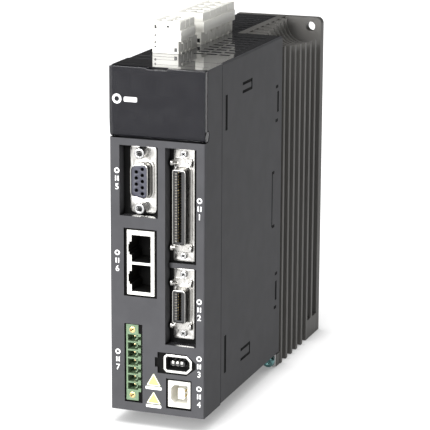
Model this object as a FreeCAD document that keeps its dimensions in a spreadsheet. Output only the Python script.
"""Slim servo drive with a finned heatsink, as a parametric FreeCAD document.

Everything is drawn from the drive's front, lower, left corner: x runs across the front, y runs
back from the front face and z runs up from the underside of the plastic case.  Each sub-part's
Placement then moves it into the frame of the part, whose origin is the middle of its footprint,
on the level of the heatsink's lower end.  Sizes are in millimetres and live in the sheet "dims".
"""
import FreeCAD
import Part
import Sketcher

import math
import os
import re
import sys

from FreeCAD import Placement, Rotation, Vector

DIMENSIONS = {
    # case
    "width": 45.0,            # across the front
    "depth": 173.0,           # front face to mounting face
    "case_height": 158.0,     # plastic case
    "foot_drop": 6.5,         # heatsink reaches this far below the case
    "wall": 2.0,
    "seam": 22.0,             # front case ends here and the main case begins
    "side_rear": 106.5,       # right wall of the main case ends here
    "gap": 0.3,               # between pieces that move past each other
    # heatsink
    "sink_left": 22.0,        # left face of the heatsink's base plate
    "sink_plate": 4.0,
    "sink_front": 98.5,
    "back_plate": 5.0,
    "fin_first": 109.5,
    "fin_pitch": 8.2,
    "fin_thick": 2.5,
    "fin_count": 7,
    "mount_radius": 2.4,
    "mount_right": 39.5,
    "mount_high": 153.5,
    "mount_left": 5.5,
    "mount_low": -2.8,
    # display door
    "door_low": 126.2,
    "door_thick": 1.2,
    "door_rim": 3.0,
    "pivot_back": 2.6,        # hinge axis behind the front face
    "pivot_up": 128.8,
    "pin_radius": 0.5,
    "panel_front": 3.5,
    "panel_low": 130.0,
    "key_first": 9.2,
    "key_pitch": 6.7,
    "key_level": 135.0,
    "key_radius": 2.1,
    # boards
    "board": 1.6,
    "control_left": 23.2,
    "power_left": 4.0,
    # front openings, as left edge, low edge, width and height
    "serial_left": 4.6, "serial_low": 90.8, "serial_wide": 18.3, "serial_tall": 32.0,
    "trough_left": 26.3, "trough_low": 33.0, "trough_wide": 14.7, "trough_tall": 90.0,
    "network_left": 6.5, "network_low": 53.9, "network_wide": 15.9, "network_tall": 31.4,
    "terminal_left": 6.6, "terminal_low": 4.1, "terminal_wide": 8.7, "terminal_tall": 36.9,
    "link_left": 22.6, "link_low": 19.4, "link_wide": 18.4, "link_tall": 9.8,
    "usb_left": 26.7, "usb_low": 3.1, "usb_wide": 12.2, "usb_tall": 14.1,
    "sleeve": 1.4,            # wall of the short tube behind each opening
    # power connectors on the top
    "top_left": 5.5,
    "top_wide": 14.0,
    "header_rise": 5.8,
    "plug_rise": 14.7,
    "motor_front": 37.5,
    "motor_long": 24.0,
    "power_front": 67.0,
    "power_long": 43.3,
}

WORD = re.compile(r"[A-Za-z_]\w*")

doc = FreeCAD.newDocument("servo_drive")
sheet = doc.addObject("Spreadsheet::Sheet", "dims")
for row, (alias, number) in enumerate(DIMENSIONS.items(), start=1):
    sheet.set(f"A{row}", alias)
    sheet.set(f"B{row}", str(number))
    sheet.setAlias(f"B{row}", alias)
doc.recompute()

subparts = []


# ---------------------------------------------------------------- building blocks

def bound(value):
    """Turn a number, or text such as "width - wall", into an expression on the sheet."""
    return WORD.sub(lambda word: "dims." + word.group(0), str(value))


def bind(item, **values):
    """Bind properties of a document object to expressions."""
    for name, value in values.items():
        item.setExpression(name, bound(value))
    return item


def locate(item, corner, rotation=None):
    """Put an object at corner, three values or expressions, turned by rotation."""
    if rotation:
        item.Placement = Placement(Vector(), rotation)
    for letter, value in zip("xyz", corner):
        item.setExpression(f"Placement.Base.{letter}", bound(value))
    return item


ALONG = {
    "x": Rotation(Vector(0, 1, 0), 90),
    "y": Rotation(Vector(1, 0, 0), -90),
    "z": Rotation(),
}


def make(kind, name, owner=None):
    """Make an object in the document, or as the next feature of a body."""
    if owner is None:
        return doc.addObject(kind, name)
    return owner.newObject(kind, name)


def box(corner, size, owner=None, kind="Part::Box", name="block"):
    """A box from its low corner and its three sizes."""
    item = make(kind, name, owner)
    bind(item, Length=size[0], Width=size[1], Height=size[2])
    return locate(item, corner)


def rod(start, along, radius, length, owner=None, kind="Part::Cylinder", name="rod", turn=None):
    """A cylinder from the middle of its first end, along x, y or z."""
    item = make(kind, name, owner)
    bind(item, Radius=radius, Height=length)
    return locate(item, start, turn or ALONG[along])


def add_box(body, corner, size, name="rib"):
    return box(corner, size, body, "PartDesign::AdditiveBox", name)


def cut_box(body, corner, size, name="opening"):
    return box(corner, size, body, "PartDesign::SubtractiveBox", name)


def add_rod(body, start, along, radius, length, name="boss"):
    return rod(start, along, radius, length, body, "PartDesign::AdditiveCylinder", name)


def cut_rod(body, start, along, radius, length, name="bore", turn=None):
    return rod(start, along, radius, length, body, "PartDesign::SubtractiveCylinder", name, turn)


def new_body(name):
    return doc.addObject("PartDesign::Body", name + "_body")


def origin_part(body, role):
    """The body's own origin plane or axis with this role."""
    return next(part for part in body.Origin.OriginFeatures if part.Role == role)


def repeat(body, feature, axis, length, count):
    """Repeat a feature count times over length along an axis of the body."""
    doc.recompute()
    pattern = body.newObject("PartDesign::LinearPattern", "row")
    pattern.Originals = [feature]
    pattern.Direction = (origin_part(body, axis), [""])
    bind(pattern, Length=length, Occurrences=count)
    body.Tip = pattern
    return pattern


def round_edges(body, radius, chosen):
    """Round the edges of the body so far whose middle point passes the test."""
    doc.recompute()
    base = body.Tip
    names = []
    for number, edge in enumerate(base.Shape.Edges, start=1):
        middle = edge.CenterOfMass
        if isinstance(edge.Curve, Part.Line) and chosen(edge, middle):
            names.append(f"Edge{number}")
    fillet = body.newObject("PartDesign::Fillet", "rounding")
    fillet.Base = (base, names)
    fillet.Radius = radius
    return fillet


def is_upright(edge):
    return abs(edge.tangentAt(edge.FirstParameter).z) > 0.99


def sketch(body, plane, points, start=0):
    """A closed outline of expression pairs, on one of the body's own origin planes."""
    outline = body.newObject("Sketcher::SketchObject", "outline")
    outline.AttachmentSupport = (origin_part(body, plane), [""])
    outline.MapMode = "FlatFace"
    outline.setExpression("AttachmentOffset.Base.z", bound(start))
    count = len(points)
    rough = [Vector(60 + 40 * cosine(360 * n / count), 60 + 40 * cosine(360 * n / count - 90), 0)
             for n in range(count + 1)]
    for number in range(count):
        outline.addGeometry(Part.LineSegment(rough[number], rough[number + 1]), False)
    for number in range(count):
        outline.addConstraint(
            Sketcher.Constraint("Coincident", number, 2, (number + 1) % count, 1)
        )
    for number, (across, up) in enumerate(points):
        for direction, value in (("DistanceX", across), ("DistanceY", up)):
            place = outline.addConstraint(
                Sketcher.Constraint(direction, -1, 1, number, 1, 10.0 + number)
            )
            outline.setExpression(f"Constraints[{place}]", bound(value))
    return outline


def sketch_pad(body, plane, points, start, length):
    """Pad an outline away from its plane."""
    outline = sketch(body, plane, points, start)
    pad = body.newObject("PartDesign::Pad", "pad")
    pad.Profile = outline
    return bind(pad, Length=length)


def sketch_cut(body, plane, points):
    """Cut an outline through the body, both ways from its plane."""
    outline = sketch(body, plane, points)
    pocket = body.newObject("PartDesign::Pocket", "pocket")
    pocket.Profile = outline
    pocket.Type = "ThroughAll"
    pocket.Midplane = True
    return pocket


def cosine(degrees):
    """Lays a sketch's rough first outline on a circle, before its constraints bite."""
    return math.cos(math.radians(degrees))


def cut(base, *tools):
    """Base with every tool taken away."""
    for tool in tools:
        result = doc.addObject("Part::Cut", "cut")
        result.Base = base
        result.Tool = tool
        base = result
    return base


def fuse(*members):
    result = doc.addObject("Part::MultiFuse", "fuse")
    result.Shapes = list(members)
    return result


def group(*members):
    """Separate solids kept together as one sub-part."""
    result = doc.addObject("Part::Compound", "group")
    result.Links = list(members)
    return result


def subpart(label, item):
    """Name a finished piece and move it into the part's frame."""
    if hasattr(item, "AttachmentOffset") and item.TypeId.startswith("Part::"):
        item = group(item)  # a bare primitive keeps its own placement inside the group
    item.Label = label
    locate(item, ("-width / 2", "-depth / 2", "foot_drop"))
    subparts.append(item)
    return item


def between(low, high):
    """Expression for the distance from low to high."""
    return f"({high}) - ({low})"


def screw(start, head_radius, head_long, shank_radius, shank_long, side="+y"):
    """A pan-head screw: start is the middle of the head's outer face, side is where it points."""
    along = side[1]
    if side[0] == "+":
        head = rod(start, along, head_radius, head_long)
        shank = rod(shift(start, along, head_long), along, shank_radius, shank_long)
    else:
        head = rod(shift(start, along, f"-({head_long})"), along, head_radius, head_long)
        back = f"-({head_long}) - ({shank_long})"
        shank = rod(shift(start, along, back), along, shank_radius, shank_long)
    return fuse(head, shank)


def shift(point, along, distance):
    """The point moved by an expression along x, y or z."""
    moved = list(point)
    place = "xyz".index(along)
    moved[place] = f"({moved[place]}) + ({distance})"
    return tuple(moved)


# ---------------------------------------------------------------- case and heatsink

def heatsink():
    """Extruded base and mounting plate, with fins, an access scoop, holes and an earth foot."""
    body = new_body("heatsink")
    inside = "depth - back_plate"
    plate_right = "sink_left + sink_plate"
    sketch_pad(
        body, "XY_Plane",
        [
            ("0", inside), ("sink_left", inside), ("sink_left", "sink_front"),
            (plate_right, "sink_front"), (plate_right, inside), ("width", inside),
            ("width", "depth"), ("0", "depth"),
        ],
        "-foot_drop", "case_height + foot_drop",
    )
    fin_root = "sink_left + sink_plate - 0.5"
    fin = add_box(
        body, (fin_root, "fin_first", "-foot_drop"),
        (between(fin_root, "width"), "fin_thick", "case_height + foot_drop"), "fin",
    )
    repeat(body, fin, "Y_Axis", "fin_pitch * (fin_count - 1)", "fin_count")
    # flange that closes the case in front of the first fin
    add_box(body, (fin_root, "side_rear - 2", "wall + gap"),
            (between(fin_root, "width - wall - gap"), between("side_rear - 2", "fin_first + 0.5"),
             "case_height - 2 * wall - 2 * gap"), "flange")
    # foot for the earth screws, in the step below the case
    add_box(body, (fin_root, EARTH_FRONT, "-foot_drop"),
            (between(fin_root, "width - 0.4"), between(EARTH_FRONT, "fin_first + 0.5"),
             "foot_drop - 0.4"), "earth_foot")
    # the last two grooves stop above a solid corner
    corner_front = "fin_first + fin_pitch * (fin_count - 2)"
    add_box(body, ("sink_left + sink_plate", corner_front, "-foot_drop"),
            (between("sink_left + sink_plate", "width"), between(corner_front, inside + " + 0.5"),
             "foot_drop + 3.4"), "solid_corner")
    # round scoop through the fins, so a driver reaches the upper mounting screw
    cut_rod(body, ("mount_right - 0.9", "depth - back_plate + 0.01", "mount_high + 1.6"), "y",
            9.5, 75, "scoop", Rotation(Vector(0, 0, 1), Vector(0.108, -1, 0.118)))
    # the base plate's front end stays below the case's roof
    cut_box(body, ("sink_left - 1", "sink_front - 1", "case_height - wall - 0.3"),
            ("sink_plate + 2", between("sink_front - 1", "side_rear + 0.3"), "wall + 1"), "roof_step")
    for across, up in CASE_SCREWS:
        cut_rod(body, (across, "depth - back_plate - 1", up), "y", 1.5, 7, "case_screw_hole")
        cut_rod(body, (across, "depth - 1.8", up), "y", 2.8, 3, "case_screw_seat")
    for across, up in (("mount_right", "mount_high"), ("mount_left", "mount_low")):
        cut_rod(body, (across, "depth - back_plate - 1", up), "y",
                "mount_radius", "back_plate + 2", "mounting_hole")
    for across in EARTH_SCREWS:
        cut_rod(body, (across, f"{EARTH_FRONT} - 1", EARTH_LEVEL), "y", 1.6, 8, "earth_thread")
    for _, back, up in module_screw_places():
        cut_rod(body, ("sink_left - 1", back, up), "x", 1.25, 4.5, "module_thread")
    round_edges(body, 3, lambda edge, middle: abs(edge.tangentAt(edge.FirstParameter).y) > 0.99
                and abs(middle.z - DIMENSIONS["case_height"]) < 0.1
                and middle.x > DIMENSIONS["width"] - 0.1
                and middle.y > DIMENSIONS["depth"] - DIMENSIONS["back_plate"])
    subpart("heatsink", body)


CASE_SCREWS = ((5.0, 24.0), (5.0, 138.0))
EARTH_SCREWS = ("width - 3.6", "width - 12.5")
EARTH_LEVEL = "-foot_drop / 2 - 0.1"
EARTH_FRONT = "sink_front + 5.5"


def earth_terminals():
    """Two M4 earth screws with square washers, pointing back into the heatsink's foot."""
    screws = []
    washers = []
    for across in EARTH_SCREWS:
        start = (across, f"{EARTH_FRONT} - 4.4", EARTH_LEVEL)
        screws.append(screw(start, 3.0, 2.6, 1.6, 8.0))
        plate = box((f"({across}) - 3.1", f"{EARTH_FRONT} - 1.8", "-foot_drop + 0.15"),
                    (6.2, 1.0, 6.2))
        disc = rod((across, f"{EARTH_FRONT} - 0.8", EARTH_LEVEL), "y", 3.0, 0.8)
        bore = rod((across, f"{EARTH_FRONT} - 3", EARTH_LEVEL), "y", 1.6, 4)
        washers.append(cut(fuse(plate, disc), bore))
    subpart("earth_screws", group(*screws))
    subpart("earth_washers", group(*washers))


def main_case():
    """Plastic shell behind the seam, with vents, snap windows and openings for the headers."""
    body = new_body("main_case")
    add_box(body, (0, "seam", 0), ("width", between("seam", "side_rear"), "case_height"), "shell")
    add_box(body, (0, "side_rear - 1", 0),
            ("sink_left", between("side_rear - 1", "depth - back_plate"), "case_height"),
            "rear_shell")
    cut_box(body, ("wall", "seam - 1", "wall"),
            ("width - 2 * wall", between("seam - 1", "side_rear + 1"), "case_height - 2 * wall"),
            "front_bay")
    cut_box(body, ("wall", "side_rear - 2", "wall"),
            ("sink_left", between("side_rear - 2", "depth"), "case_height - 2 * wall"),
            "rear_bay")
    # the heatsink's base plate passes down through the case's floor to the earth foot
    cut_box(body, ("sink_left - 0.2", "sink_front - 0.3", -1),
            ("sink_plate + 0.5", between("sink_front - 0.3", "depth"), "wall + 2"), "slit")
    for across, up in CASE_SCREWS:
        add_box(body, ("wall - 0.5", "depth - back_plate - 10", up - 3.5), (6.5, 10, 7), "boss")
        cut_rod(body, (across, "depth - back_plate - 8", up), "y", 1.5, 9, "boss_bore")
    slot = cut_box(body, (VENT_LEFT, VENT_FRONT, "case_height - wall - 1"),
                   (VENT_WIDE, VENT_LONG, "wall + 2"), "vent")
    vent_field(body, slot, 3, 9)
    slot = cut_box(body, ("wall + 1.4", 117.5, "case_height - wall - 1"),
                   (VENT_WIDE, VENT_LONG, "wall + 2"), "rear_vent")
    vent_field(body, slot, 3, 7)
    slot = cut_box(body, ("wall + 4", 34, -1), (VENT_WIDE, VENT_LONG, "wall + 2"), "floor_vent")
    vent_field(body, slot, 3, 9)
    for front, length in (("motor_front", "motor_long"), ("power_front", "power_long")):
        cut_box(body, (f"top_left + {HEADER_INSET}", f"({front}) + {HEADER_INSET}",
                       "case_height - wall - 1"),
                (f"top_wide - 2 * {HEADER_INSET}", f"({length}) - 2 * {HEADER_INSET}",
                 "wall + 2"), "header_opening")
    for low, high in SNAP_WINDOWS:
        for side in ("-1", "width - wall - 1"):
            cut_box(body, (side, 26.2, low), ("wall + 2", 2.6, high - low), "window")
    for low, high in ((122.3, 132.3), (28.8, 38.3)):
        cut_box(body, ("width - 1.4", 99.4, low), (2, 2.2, high - low), "rear_slot")
    for low, high in ((140.6, 144.4), (13.3, 18.1)):
        snap_tongue(body, low, high)
    for back, level in ((97.2, 134.8), (97.2, 118.4), (92.8, 93.6), (93.8, 67.0),
                        (99.0, 42.1), (98.0, 25.2)):
        cut_box(body, ("width - 1.3", back, level - 0.7), (2, 3.4, 1.4), "notch")
    cut_box(body, (1.5, 29.2, "case_height - 0.4"), (17.5, 0.5, 1), "roof_line")
    cut_box(body, ("width - 0.6", 92.9, 67.0), (1, 0.8, 27.0), "groove")
    # relief for the head of the lower mounting screw
    cut_box(body, ("mount_left - 5", "depth - back_plate - 18", -1), (10, 19, 3), "relief")
    round_edges(body, 1.0, lambda edge, middle: is_along_y(edge) and on_outer_corner(middle))
    subpart("main_case", body)


VENT_LEFT, VENT_FRONT, VENT_WIDE, VENT_LONG = 23.4, 42.4, 4.8, 2.6
VENT_ACROSS, VENT_BACK = 6.2, 6.5
HEADER_INSET = 1.0


def vent_field(body, slot, across, back):
    """Repeat one slot over a field of across by back slots."""
    doc.recompute()
    field = body.newObject("PartDesign::MultiTransform", "vents")
    field.Originals = [slot]
    steps = []
    for axis, pitch, count in (("X_Axis", VENT_ACROSS, across), ("Y_Axis", VENT_BACK, back)):
        step = body.newObject("PartDesign::LinearPattern", "vent_step")
        step.Direction = (origin_part(body, axis), [""])
        step.Length = pitch * (count - 1)
        step.Occurrences = count
        steps.append(step)
    field.Transformations = steps
    body.Tip = field


def snap_tongue(body, low, high):
    """Three thin slits that leave a springy tongue in the right wall."""
    thin = 1.3
    front, rear = 49.2, 62.6
    for bottom in (low, high):
        cut_box(body, ("width - wall - 1", front, bottom - thin / 2),
                ("wall + 2", rear - front, thin), "slit")
    cut_box(body, ("width - wall - 1", rear - thin, low), ("wall + 2", thin, high - low), "slit")


def is_along_y(edge):
    return abs(edge.tangentAt(edge.FirstParameter).y) > 0.99


def on_outer_corner(middle):
    """True on the long outer edges of the case, whether or not a vent interrupts them."""
    sides = (0.0, DIMENSIONS["width"])
    levels = (0.0, DIMENSIONS["case_height"])
    beside = any(abs(middle.x - side) < 0.05 for side in sides)
    level = any(abs(middle.z - height) < 0.05 for height in levels)
    return beside and level


SNAP_WINDOWS = ((127.0, 143.0), (13.6, 31.4))

OPENINGS = {  # depth of the sleeve behind each opening
    "serial": 6.0, "trough": 6.6, "network": 4.0, "terminal": 5.0, "link": 3.4, "usb": 4.0,
}


def front_case():
    """Front shell with one sleeved opening for each connector and ears for the door's hinge."""
    body = new_body("front_case")
    face_top = "door_low - 0.2"
    seam_face = "seam - 0.45"
    face_thick, shelf_thick = 2.2, 1.8
    add_box(body, (0, 0, 0), ("width", seam_face, face_top), "face_block")
    add_box(body, (0, "door_rim + gap", f"({face_top}) - 1"),
            ("width", between("door_rim + gap", seam_face),
             between(f"({face_top}) - 1", "case_height")), "upper_block")
    cut_box(body, ("wall", face_thick, "wall"),
            ("width - 2 * wall", "seam", between("wall", f"door_low - {shelf_thick}")),
            "lower_bay")
    cut_box(body, ("wall", "panel_front - 1", "panel_low - 0.1"),
            ("width - 2 * wall", "seam", between("panel_low - 0.1", "case_height - wall")),
            "upper_bay")
    # wall between the two bays, open behind the display board
    board_back, passage_tall = 8.2, 7
    cut_box(body, ("wall", board_back, "door_low - 3"),
            ("width - 2 * wall", "seam", passage_tall), "passage")
    line_inset, line_back, line_wide = 2.5, 9.4, 0.5
    cut_box(body, (line_inset, line_back, "case_height - 0.4"),
            (f"width - 2 * {line_inset}", line_wide, 1), "roof_line")
    clip_thick, clip_margin, clip_overlap, clip_reach = 1.2, 1.5, 5, 5.2
    for low, high in SNAP_WINDOWS:
        for inner, hook in (("width - wall - 1.5", "width - wall - 0.3"), ("wall + 0.3", "1.2")):
            foot, tall = low + clip_margin, high - low - 2 * clip_margin
            add_box(body, (inner, f"seam - {clip_overlap}", foot),
                    (clip_thick, clip_overlap + clip_reach + 1.6, tall), "snap_arm")
            add_box(body, (hook, f"seam + {clip_reach}", foot),
                    (clip_thick, clip_thick, tall), "snap_hook")
    for name, deep in OPENINGS.items():
        add_box(body, (f"{name}_left - sleeve", 2.0, f"{name}_low - sleeve"),
                (f"{name}_wide + 2 * sleeve", deep - 2.0, f"{name}_tall + 2 * sleeve"), "sleeve")
    for name in OPENINGS:
        if name != "link":
            cut_box(body, (f"{name}_left", -1, f"{name}_low"),
                    (f"{name}_wide", 12, f"{name}_tall"), "opening")
    # the bus socket's opening is pointed on the right and has a keying notch on the left
    right, top = "link_left + link_wide", "link_low + link_tall"
    point_start, point_low = f"{right} - 4.6", 3.6
    key_left, key_low, key_high = "link_left - 1.3", "link_low + 2.8", f"{top} - 2.6"
    sketch_cut(body, "XZ_Plane", [
        ("link_left", "link_low"), (point_start, "link_low"),
        (right, f"link_low + {point_low}"), (right, f"{top} - {point_low}"), (point_start, top),
        ("link_left", top), ("link_left", key_high), (key_left, key_high),
        (key_left, key_low), ("link_left", key_low),
    ])
    bar_back, bar_low, bar_deep, bar_tall = 4.4, 67.7, 2.2, 2.3
    add_box(body, ("trough_left - 0.2", bar_back, bar_low),
            ("trough_wide + 0.4", bar_deep, bar_tall), "cross_bar")
    ear_radius, ear_wide, ear_long = 1.1, 2, 4.2
    # clearance for the round knuckles at the door's lower edge
    cut_rod(body, (-1, "pivot_back", "pivot_up"), "x", "pivot_back + 0.2", "width + 2", "swing")
    for left in EARS:
        add_box(body, (left, "pivot_back", "pivot_up - 0.9"), (ear_wide, ear_long, 1.8), "ear_arm")
        add_rod(body, (left, "pivot_back", "pivot_up"), "x", ear_radius, ear_wide, "ear")
        cut_rod(body, (f"({left}) - 1", "pivot_back", "pivot_up"), "x",
                "pin_radius + 0.05", 4, "pin_bore")
    round_edges(body, 0.8, lambda edge, middle: is_upright(edge) and middle.y < 0.05
                and (middle.x < 0.05 or middle.x > DIMENSIONS["width"] - 0.05))
    subpart("front_case", body)


EARS = ("wall - 0.5", "width - wall - 1.5")


def display_door():
    """Smoked window that covers the display and keys, with knuckles and two steel pins."""
    body = new_body("display_door")
    tall = between("pivot_up", "case_height")
    add_box(body, (0, 0, "pivot_up"), ("width", "door_rim", tall), "blank")
    add_rod(body, (0, "pivot_back", "pivot_up"), "x", "pivot_back", "width", "knuckle")
    cut_box(body, ("door_thick", "door_thick", "door_low - 1"),
            ("width - 2 * door_thick", 6, between("door_low - 1", "case_height - door_thick")),
            "hollow")
    notch_wide, notch_deep = 9, 0.7
    cut_box(body, (f"(width - {notch_wide}) / 2", -1, f"case_height - {notch_deep}"),
            (notch_wide, 5, 1), "finger_notch")
    seat, pin_long = 0.6, 2.7
    for left in (f"door_thick - {seat}", "width - door_thick - 0.1"):
        cut_rod(body, (left, "pivot_back", "pivot_up"), "x", "pin_radius", seat + 0.1, "pin_seat")
    subpart("display_door", body)
    pins = [
        rod((left, "pivot_back", "pivot_up"), "x", "pin_radius", pin_long)
        for left in (f"door_thick - {seat}", f"width - door_thick + {seat} - {pin_long}")
    ]
    subpart("hinge_pins", group(*pins))


# ---------------------------------------------------------------- display and keys

KEYS = ("mode_key", "shift_key", "up_key", "down_key", "set_key")
WINDOW = {"left": 8.0, "low": 144.6, "wide": 29.6, "tall": 10.2}
LAMP_X, LAMP_Z, LAMP_RADIUS = 40.2, 149.6, 1.1


def key_panel():
    """Panel behind the door, with a window for the digits, a lamp hole and five key holes."""
    body = new_body("key_panel")
    left = "wall + 0.2"
    add_box(body, (left, "panel_front", "panel_low"),
            (between(left, "width - wall - 0.2"), 1.8,
             between("panel_low", "case_height - wall - 0.2")), "plate")
    cut_box(body, (WINDOW["left"], "panel_front - 1", WINDOW["low"]),
            (WINDOW["wide"], 4, WINDOW["tall"]), "window")
    cut_rod(body, (LAMP_X, "panel_front - 1", LAMP_Z), "y", LAMP_RADIUS + 0.15, 4, "lamp_hole")
    for number in range(len(KEYS)):
        cut_rod(body, (f"key_first + {number} * key_pitch", "panel_front - 1", "key_level"), "y",
                "key_radius + gap", 4, "key_hole")
    subpart("key_panel", body)


def keys():
    """Five push keys: a cap through the panel and a wider collar behind it."""
    for number, name in enumerate(KEYS):
        across = f"key_first + {number} * key_pitch"
        cap_long, collar_start, collar_thick = 3.8, 2.2, 0.9
        cap = rod((across, "panel_front - 0.7", "key_level"), "y", "key_radius", cap_long)
        collar = rod((across, f"panel_front + {collar_start}", "key_level"), "y",
                     "key_radius + 0.7", collar_thick)
        subpart(name, fuse(cap, collar))


def display_electronics():
    """Digit module, lamp, key switches and the board that carries them."""
    play = 0.4
    board_front, digits_front = 11.5, 4.3
    window = box((WINDOW["left"] + play, digits_front, WINDOW["low"] + play),
                 (WINDOW["wide"] - 2 * play, board_front - digits_front,
                  WINDOW["tall"] - 2 * play))
    subpart("display_module", window)
    lamp = fuse(rod((LAMP_X, "panel_front - 0.6", LAMP_Z), "y", LAMP_RADIUS, 8.6),
                rod((LAMP_X, "panel_front + 3.2", LAMP_Z), "y", LAMP_RADIUS + play, 4.8))
    subpart("charge_lamp", lamp)
    switch_side, switch_deep, plunger_radius, plunger_long = 4.8, 2.5, 1.2, 1.5
    switches = []
    for number in range(len(KEYS)):
        across = f"key_first + {number} * key_pitch"
        base = box((f"{across} - {switch_side / 2}", board_front - switch_deep,
                    f"key_level - {switch_side / 2}"), (switch_side, switch_deep, switch_side))
        plunger = rod((across, board_front - switch_deep - 1, "key_level"), "y",
                      plunger_radius, plunger_long)
        switches.append(fuse(base, plunger))
    subpart("key_switches", group(*switches))
    board = new_body("display_board")
    board_tall = 24.4
    add_box(board, ("wall + 1", board_front, "panel_low + 1.4"),
            ("width - 2 * wall - 2", "board", board_tall))
    round_edges(board, 1.0, lambda edge, middle: is_along_y(edge))
    subpart("display_board", board)
    subpart("board_connector", fuse(
        box(("control_left + board", 14.0, 118), (3.2, 8, 5.4)),
        box(("control_left + board", 13.3, 118), (2.2, 0.9, 22)),
        box(("control_left + board - 4", 13.1, 136), (11, 2.4, 4)),
    ))


# ---------------------------------------------------------------- boards and power parts

SPACERS = ((30, 12), (90, 12), (30, 120), (90, 120))
SPACER_RADIUS, SCREW_RADIUS = 2.6, 1.5


def boards():
    """Control board and power board, both upright and parallel to the case's sides."""
    sizes = {
        "control_board": (("control_left", 9.5, 4), ("board", 86, 120)),
        "power_board": (("power_left", 26, 6), ("board", 130, 144)),
    }
    for name, (corner, size) in sizes.items():
        body = new_body(name)
        add_box(body, corner, size, "blank")
        for back, up in SPACERS:
            cut_rod(body, (f"({corner[0]}) - 1", back, up), "x", SCREW_RADIUS, 4, "screw_hole")
        subpart(name, body)
    spacers = []
    for back, up in SPACERS:
        spacers.append(rod(("wall", back, up), "x", SPACER_RADIUS, between("wall", "power_left")))
        middle = rod(("power_left + board", back, up), "x", SPACER_RADIUS,
                     between("power_left + board", "control_left"))
        spacers.append(middle)
    subpart("board_spacers", group(*spacers))
    screws = []
    for back, up in SPACERS:
        screws.append(rod(("power_left", back, up), "x", SCREW_RADIUS, "board"))
        start = ("control_left + board + 1.8", back, up)
        screws.append(screw(start, SPACER_RADIUS, 1.8, SCREW_RADIUS, "board", "-x"))
    subpart("board_screws", group(*screws))


MODULES = {  # name: rear-to-front start, low edge, length, height, thickness
    "power_module": (113, 40, 36, 62, 4.4),
    "rectifier": (116, 112, 26, 24, 4.0),
}
PAD = 0.3


def module_screw_places():
    """Name, y and z of the two screws that hold each module."""
    for name, (front, low, length, height, _) in MODULES.items():
        for share in (0.12, 0.88):
            yield name, front + length / 2, low + height * share


def power_modules():
    """Power module and rectifier, pressed on the heatsink's base plate through thermal pads."""
    pads = []
    for name, (front, low, length, height, thick) in MODULES.items():
        left = f"sink_left - {PAD} - {thick}"
        body = new_body(name)
        add_box(body, (left, front, low), (thick, length, height), "case")
        for row in (2, length - 3):
            leg = add_box(body, ("power_left + board", front + row, low + 6),
                          (between("power_left + board", left), 0.8, 0.8), "leg")
            repeat(body, leg, "Z_Axis", height - 13, 6)
        for owner, back, up in module_screw_places():
            if owner == name:
                cut_rod(body, (f"{left} - 1", back, up), "x", 1.25, thick + 2, "screw_hole")
        subpart(name, body)
        holes = [
            rod((f"sink_left - {PAD} - 1", back, up), "x", 1.25, 3)
            for owner, back, up in module_screw_places() if owner == name
        ]
        pads.append(cut(box((f"sink_left - {PAD}", front, low), (PAD, length, height)), *holes))
    subpart("thermal_pads", group(*pads))
    screws = []
    for owner, back, up in module_screw_places():
        thick = MODULES[owner][4]
        start = (f"sink_left - {PAD} - {thick} - 1.6", back, up)
        screws.append(screw(start, 2.4, 1.6, 1.25, PAD + thick + 3.0, "+x"))
    subpart("module_screws", group(*screws))


def capacitors():
    """Three bus capacitors lying side by side on the power board."""
    cans = []
    across, front, length, radius = 14.4, 38, 36, 8.0
    neck_back, neck_radius = 70.5, 7.6
    first, pitch = 26, 18
    for number in range(3):
        level = first + pitch * number
        can = rod((across, front, level), "y", radius, length)
        neck = cut(rod((across, neck_back, level), "y", radius + 1.0, 1.2),
                   rod((across, neck_back - 0.5, level), "y", neck_radius, 2.2))
        cans.append(cut(can, neck))
    subpart("bus_capacitors", group(*cans))


def supply_parts():
    """Supply transformer, inrush relay, line choke and current sensors on the power board."""
    face = "power_left + board"
    core = fuse(box((face, 44, 92), (15, 5, 22)), box((face, 61, 92), (15, 5, 22)),
                box((f"{face} + 5", 44, 100), (5, 22, 6)))
    winding = cut(box((f"{face} + 1", 49, 93.5), (13, 12, 19)),
                  box((f"{face} + 5", 48, 100), (5, 14, 6)))
    subpart("transformer_core", core)
    subpart("transformer_winding", winding)
    subpart("inrush_relay", box((face, 80, 24), (15, 12, 19)))
    choke = make("Part::Torus", "choke")
    bind(choke, Radius1=7.5, Radius2=3.2)
    locate(choke, (f"{face} + 3.2", 87, 66), ALONG["x"])
    subpart("line_choke", choke)
    sensors = []
    for low in (16, 28):
        window = box((face, 96, low), (10, 10, 9))
        sensors.append(cut(window, rod((0, 101, low + 4.5), "x", 1.6, 30)))
    subpart("current_sensors", group(*sensors))


def control_chips():
    """Processor, interface chips and memory on the right face of the control board."""
    face = "control_left + board"
    chips = [
        box((face, 48, 58), (1.4, 20, 20)),
        box((face, 52, 90), (1.2, 12, 14)),
        box((face, 76, 40), (1.6, 8, 18)),
        box((face, 50, 26), (2.0, 14, 10)),
    ]
    subpart("control_chips", group(*chips))


# ---------------------------------------------------------------- front connectors

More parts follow.
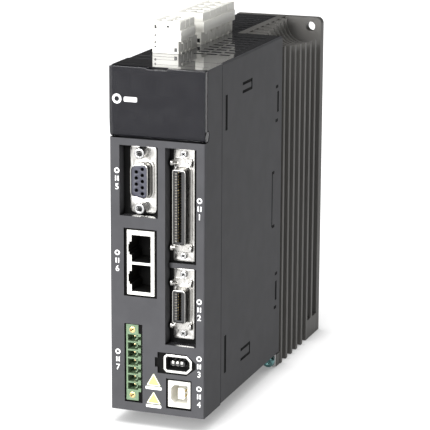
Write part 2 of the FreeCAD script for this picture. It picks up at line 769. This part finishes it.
def half_pitch_connector(name, low, tall, contacts):
    """Upright half-pitch connector: plate with an oblong rim, moulded insulator and contacts."""
    left, wide, front = HALF_PITCH_LEFT, HALF_PITCH_WIDE, 6.6
    end, rim_deep = 8.5, 6.3
    rim_low, rim_tall = low + end, tall - 2 * end
    rim_left, rim_wide = left + 1.7, 6.3
    shell = new_body(name + "_shell")
    add_box(shell, (left, front, low), (wide, 1.0, tall), "plate")
    add_box(shell, (rim_left, front - rim_deep, rim_low),
            (rim_wide, rim_deep + 0.4, rim_tall), "rim")
    cut_box(shell, (rim_left + 0.5, front - rim_deep - 1, rim_low + 0.5),
            (rim_wide - 1.0, rim_deep + 3, rim_tall - 1.0), "mouth")
    for up in (low + 2.6, low + tall - 2.6):
        cut_rod(shell, (left + wide / 2, front - 1, up), "y", 1.2, 3, "screw_hole")
    round_edges(shell, 0.9, lambda edge, middle: is_along_y(edge) and middle.y < front - 1
                and (abs(middle.x - rim_left) < 0.1
                     or abs(middle.x - rim_left - rim_wide) < 0.1))
    subpart(name + "_shell", shell)
    insulator = new_body(name + "_insulator")
    add_box(insulator, ("control_left + board", front + 1.0, low + 5),
            (between("control_left + board", rim_left + rim_wide), 11, tall - 10), "back")
    recess = 0.7
    add_box(insulator, (rim_left + 0.5, front - rim_deep + recess, rim_low + 0.5),
            (rim_wide - 1.0, rim_deep - recess + 2.1, rim_tall - 1.0), "face")
    cut_box(insulator, (rim_left + 2.2, front - rim_deep - 1, rim_low + 1.3),
            (1.9, rim_deep + 4.5, rim_tall - 2.6), "slot")
    subpart(name + "_insulator", insulator)
    strips = []
    for number in range(contacts):
        level = low + tall / 2 + CONTACT_PITCH * (number - (contacts - 1) / 2) - 0.25
        for side in (rim_left + 2.2, rim_left + 3.9):
            strips.append(box((side, front - 4.8, level), (0.2, 7.6, 0.5)))
    subpart(name + "_contacts", group(*strips))


HALF_PITCH = {"signal": (70.6, 51.4, 25), "encoder": (34.6, 32.6, 10)}
HALF_PITCH_LEFT, HALF_PITCH_WIDE = 27.8, 9.9
CONTACT_PITCH = 1.27


def half_pitch_connectors():
    """Both half-pitch connectors with their latch brackets and plate screws."""
    brackets = []
    screws = []
    for name, (low, tall, contacts) in HALF_PITCH.items():
        half_pitch_connector(name, low, tall, contacts)
        left, right = HALF_PITCH_LEFT, HALF_PITCH_LEFT + HALF_PITCH_WIDE
        for end_low in (low + 4.4, low + tall - 8.4):
            foot = box((left + 0.9, 5.6, end_low), (HALF_PITCH_WIDE - 1.7, 1.0, 4.0))
            ear = box((left - 0.5, 3.6, end_low + 0.8), (1.4, 3.0, 2.4))
            far_ear = box((right - 1.3, 3.6, end_low + 0.8), (1.0, 3.0, 2.4))
            brackets.append(fuse(foot, ear, far_ear))
        for up in (low + 2.6, low + tall - 2.6):
            screws.append(screw(((left + right) / 2, 5.4, up), 1.6, 1.2, 1.2, 5.0))
    subpart("latch_brackets", group(*brackets))
    subpart("connector_screws", group(*screws))


def serial_connector():
    """Nine-way D connector: flanged shell, insulator with nine bores, sockets and hex posts."""
    left, low, wide, tall, front = 7.6, 91.4, 12.5, 30.8, 5.5
    mid_x, mid_z = left + wide / 2, low + tall / 2
    flange = box((left, front, low), (wide, 1.0, tall))
    outer = trapezoid(mid_x, front - 5.4, mid_z, 8.4, 16.9, 1.5, 5.8)
    inner = trapezoid(mid_x, front - 6.0, mid_z, 7.4, 15.9, 1.5, 8.0)
    posts = [rod((mid_x, front - 1, mid_z + side * 12.5), "y", 1.5, 3) for side in (-1, 1)]
    shell = cut(fuse(flange, outer), inner, *posts)
    subpart("serial_shell", shell)
    core = trapezoid(mid_x, front - 4.9, mid_z, 7.4, 15.9, 1.5, 5.9)
    back = box((left + 1.6, front + 1.0, low + 6), (between(left + 1.6, "control_left"), 8.6, 18.8))
    places = socket_places(mid_x, mid_z)
    bores = [rod((x, front - 6, z), "y", 0.75, 7) for x, z in places]
    subpart("serial_insulator", cut(fuse(core, back), *bores))
    sockets = [
        cut(rod((x, front - 4.6, z), "y", 0.75, 5.6), rod((x, front - 5, z), "y", 0.5, 4.5))
        for x, z in places
    ]
    subpart("serial_sockets", group(*sockets))
    nuts = []
    for side in (-1, 1):
        level = mid_z + side * 12.5
        post = make("Part::Prism", "hex_post")
        bind(post, Polygon=6, Circumradius=2.7, Height=5.0)
        locate(post, (mid_x, front - 5.0, level), ALONG["y"])
        stud = rod((mid_x, front, level), "y", 1.5, 5)
        nuts.append(cut(fuse(post, stud), rod((mid_x, front - 6, level), "y", 1.3, 5)))
    subpart("serial_hex_posts", group(*nuts))


def trapezoid(mid_x, front, mid_z, across, tall, lean, long):
    """The D outline of a connector: its left side is shorter by lean at each end."""
    item = make("Part::Wedge", "d_outline")
    item.Xmin, item.Xmax, item.X2min, item.X2max = 0, tall, lean, tall - lean
    item.Ymin, item.Ymax = 0, across
    item.Zmin, item.Zmax, item.Z2min, item.Z2max = 0, long, 0, long
    # the wedge narrows along its own y, which is turned to point to the left
    item.Placement = Placement(
        Vector(mid_x + across / 2, front, mid_z + tall / 2),
        Rotation(Vector(0, 0, -1), Vector(-1, 0, 0), Vector(0, 1, 0), "XYZ"),
    )
    return item


def socket_places(mid_x, mid_z):
    """Five bores in the right column and four in the left one."""
    pitch = 2.77
    right = [(mid_x + 1.42, mid_z + pitch * step) for step in (-2, -1, 0, 1, 2)]
    left = [(mid_x - 1.42, mid_z + pitch * step) for step in (-1.5, -0.5, 0.5, 1.5)]
    return right + left


PORTS = (56.2, 69.8)
PORT_TALL = 12.4


def network_ports():
    """Double modular jack on its side: two stepped sockets with eight spring contacts each."""
    body = new_body("network_housing")
    add_box(body, (7.9, 0.3, 54.6), (13.1, 17.5, 29.8), "block")
    add_box(body, (20.5, 8.0, 55.4), (between(20.5, "control_left"), 9, 28), "pedestal")
    for low in PORTS:
        cut_box(body, (10.1, -1, low), (9.2, 13.4, PORT_TALL), "cavity")
        cut_box(body, (9.0, -1, low + 3.1), (2, 13.4, PORT_TALL - 6.2), "latch_way")
        cut_box(body, (8.5, -1, low + 4.4), (1, 13.4, PORT_TALL - 8.8), "latch_nose")
    subpart("network_housing", body)
    contacts = []
    for low in PORTS:
        for number in range(8):
            level = low + 2.4 + 1.02 * number
            contacts.append(box((18.3, 3.0, level), (1.0, 9.0, 0.45)))
    subpart("network_contacts", group(*contacts))


TERMINALS = 7
TERMINAL_PITCH = 3.81
TERMINAL_FIRST = 11.4
INSERT_LEVELS = (7.3, 38.1)
INSERT_RADIUS, THREAD_RADIUS = 1.4, 0.85


def terminal_header():
    """Seven-way pluggable header: a channel with chambers, its pins and two threaded inserts."""
    left, low, wide, tall, front = 7.3, 4.8, 5.9, 35.8, 0.4
    body = new_body("terminal_header")
    add_box(body, (left, front, low), (wide, 12, tall), "block")
    add_box(body, (left + 1.0, front, low + 4.2), (wide + 0.2, 12, tall - 8.4), "teeth_side")
    mid = left + wide / 2
    for number in range(TERMINALS):
        level = TERMINAL_FIRST + TERMINAL_PITCH * number
        cut_box(body, (left + 0.8, front - 1, level - 1.55), (4.9, 9.5, 3.1), "chamber")
        cut_box(body, (left + 5.6, front - 1, level - 0.8), (1.7, 9.5, 1.6), "key_way")
    for level in INSERT_LEVELS:
        cut_rod(body, (mid, front - 1, level), "y", INSERT_RADIUS, 9, "insert_bore")
    subpart("terminal_header", body)
    pins = []
    pin = 0.8
    for number in range(TERMINALS):
        level = TERMINAL_FIRST + TERMINAL_PITCH * number
        edge, under = mid - pin / 2, level - pin / 2
        blade = box((edge, front + 3.0, under), (pin, 11.4, pin))
        leg = box((edge, front + 13.6, under), (between(edge, "control_left"), pin, pin))
        cut_box(body, (edge, front + 8.0, under), (pin, 5, pin), "pin_way")
        pins.append(fuse(blade, leg))
    subpart("terminal_pins", group(*pins))
    inserts = []
    for level in INSERT_LEVELS:
        sleeve = rod((mid, front - 0.1, level), "y", INSERT_RADIUS, 7.0)
        inserts.append(cut(sleeve, rod((mid, front - 1, level), "y", THREAD_RADIUS, 6)))
    subpart("terminal_inserts", group(*inserts))


def link_port():
    """Six-way serial bus socket: metal shell pointed on the right, with a tongue inside."""
    left, low, wide, tall, front = 25.3, 19.9, 13.6, 8.6, 0.4
    lean, skin = 2.2, 0.7
    inside = (left + skin, low + skin, wide - 2 * skin, tall - 2 * skin)
    outer = pointed_tube(left, low, wide, tall, front, 11.6, lean)
    inner = pointed_tube(*inside, front - 1, 11.0, lean)
    subpart("link_shell", cut(outer, inner))
    base = pointed_tube(*inside, front + 8.0, 2.0, lean)
    tongue_wide, tongue_thick = 7.0, 1.8
    tongue = box((left + 3.0, front + 1.0, low + (tall - tongue_thick) / 2),
                 (tongue_wide, 8, tongue_thick))
    subpart("link_tongue", fuse(base, tongue))


def pointed_tube(left, low, wide, tall, front, long, lean):
    """A box whose right side is chamfered above and below into a blunt point."""
    item = doc.addObject("Part::Chamfer", "pointed")
    blank = box((left, front, low), (wide, long, tall))
    doc.recompute()
    edges = []
    for number, edge in enumerate(blank.Shape.Edges, start=1):
        if is_along_y(edge) and edge.CenterOfMass.x > left + wide - 0.1:
            edges.append((number, lean, lean))
    item.Base = blank
    item.Edges = edges
    return item


def usb_port():
    """Square USB socket: light housing with a chamfered cavity, and a tongue with contacts."""
    left, low, wide, tall, front = 27.5, 3.9, 10.7, 12.4, 0.4
    blank = box((left, front, low), (wide, 16, tall))
    cavity = box((left + 1.4, front - 1, low + 1.9), (8.0, 11, 8.6))
    doc.recompute()
    shaped = doc.addObject("Part::Chamfer", "cavity")
    shaped.Base = cavity
    shaped.Edges = [
        (number, 1.6, 1.6) for number, edge in enumerate(cavity.Shape.Edges, start=1)
        if is_along_y(edge) and edge.CenterOfMass.x < left + 2
    ]
    foot = box(("control_left + board", front + 4, low + 1),
               (between("control_left + board", left + 0.2), 10, tall - 2))
    subpart("usb_housing", fuse(cut(blank, shaped), foot))
    subpart("usb_tongue", box((left + 4.2, front + 1.4, low + 3.7), (3.2, 8.6, 5.0)))


# ---------------------------------------------------------------- power connectors on the top

PLUGS = {  # name: (front edge, length, poles)
    "motor": ("motor_front", "motor_long", 3),
    "power": ("power_front", "power_long", 5),
}
MOTOR_PLUG_LONG = 18.5
POCKET_SIDE, POCKET_END = 2.2, 1.6  # walls of a header's pocket
NOSE_PLAY = 0.3
PIN, PIN_SOCKET = 1.2, 1.8


def top_connectors():
    """Two headers through the roof, their pins, and the pull-off plugs that carry the wires."""
    all_pins = []
    for name, (front, length, poles) in PLUGS.items():
        plug_long = length if name == "power" else MOTOR_PLUG_LONG
        low = "case_height - 10"
        body = new_body(name + "_header")
        add_box(body, (f"top_left + {HEADER_INSET} + 0.1", f"({front}) + {HEADER_INSET} + 0.1", low),
                (f"top_wide - 2 * {HEADER_INSET} - 0.2",
                 f"({length}) - 2 * {HEADER_INSET} - 0.2", 10.4), "root")
        add_box(body, ("top_left", front, "case_height"),
                ("top_wide", length, "header_rise"), "collar")
        cut_box(body, (f"top_left + {POCKET_SIDE}", f"({front}) + {POCKET_END}",
                       "case_height - 6"),
                (f"top_wide - 2 * {POCKET_SIDE}", f"({plug_long}) - 2 * {POCKET_END}",
                 "header_rise + 7"), "pocket")
        middle = "top_left + top_wide / 2"
        pitch = f"(({plug_long}) - 2 * {POCKET_END}) / {poles}"
        pin_low = "case_height - 16"
        for number in range(poles):
            back = f"({front}) + {POCKET_END} + {pitch} * {number + 0.5} - {PIN / 2}"
            cut_box(body, (f"{middle} - {PIN / 2}", back, low), (PIN, PIN, 6), "pin_way")
            pin = box((f"{middle} - {PIN / 2}", back, pin_low), (PIN, PIN, 19))
            leg = box(("power_left + board", back, pin_low),
                      (between("power_left + board", middle), PIN, PIN))
            all_pins.append(fuse(pin, leg))
        subpart(name + "_header", body)
        plug = new_body(name + "_plug")
        add_box(plug, ("top_left", front, "case_height + header_rise"),
                ("top_wide", plug_long, "plug_rise - header_rise"), "head")
        side, end = POCKET_SIDE + NOSE_PLAY, POCKET_END + NOSE_PLAY
        add_box(plug, (f"top_left + {side}", f"({front}) + {end}", "case_height - 5"),
                (f"top_wide - 2 * {side}", f"({plug_long}) - 2 * {end}", "header_rise + 6"),
                "nose")
        entry, slot_wide, slot_long = (3.4, 3.2), 2.4, 2.0
        for number in range(poles):
            back = f"({front}) + {POCKET_END} + {pitch} * {number + 0.5}"
            cut_box(plug, (f"{middle} - {PIN_SOCKET / 2}", f"{back} - {PIN_SOCKET / 2}",
                           "case_height - 6"),
                    (PIN_SOCKET, PIN_SOCKET, 12.5), "pin_socket")
            cut_box(plug, ("top_left + 8.4", f"{back} - {entry[1] / 2}",
                           "case_height + plug_rise - 4.5"), (*entry, 6), "wire_entry")
            cut_box(plug, ("top_left + 3.2", f"{back} - {slot_long / 2}",
                           "case_height + plug_rise - 3"),
                    (slot_wide, slot_long, 6), "release_slot")
        subpart(name + "_plug", plug)
    subpart("header_pins", group(*all_pins))


def case_screws():
    """Two screws from behind, through the mounting plate into bosses of the main case."""
    screws = [
        screw((across, "depth - 0.2", up), 2.7, 1.6, 1.5, 10.0, "-y") for across, up in CASE_SCREWS
    ]
    subpart("case_screws", group(*screws))


# ---------------------------------------------------------------- build, check and write

def build():
    main_case()
    front_case()
    heatsink()
    earth_terminals()
    display_door()
    key_panel()
    keys()
    display_electronics()
    boards()
    power_modules()
    capacitors()
    supply_parts()
    control_chips()
    half_pitch_connectors()
    serial_connector()
    network_ports()
    terminal_header()
    link_port()
    usb_port()
    top_connectors()
    case_screws()
    doc.recompute()


def check():
    """Stop if any object failed to recompute or any sub-part has no valid solid."""
    for item in doc.Objects:
        if "Invalid" in item.State or "Error" in item.State:
            sys.exit(f"{item.Name} ({item.Label}) failed: {item.State}")
    for item in subparts:
        if item.Shape.isNull() or not item.Shape.isValid() or not item.Shape.Solids:
            sys.exit(f"{item.Label} has no valid shape")


def write():
    os.makedirs("parts", exist_ok=True)
    for item in subparts:
        item.Shape.exportStep(os.path.join("parts", item.Label + ".step"))
        box_of = item.Shape.BoundBox
        print(f"{item.Label:22s} solids {len(item.Shape.Solids):3d}  "
              f"volume {item.Shape.Volume:9.1f}  z {box_of.ZMin:6.1f} to {box_of.ZMax:6.1f}")
    print(len(subparts), "sub-parts")


build()
check()
write()
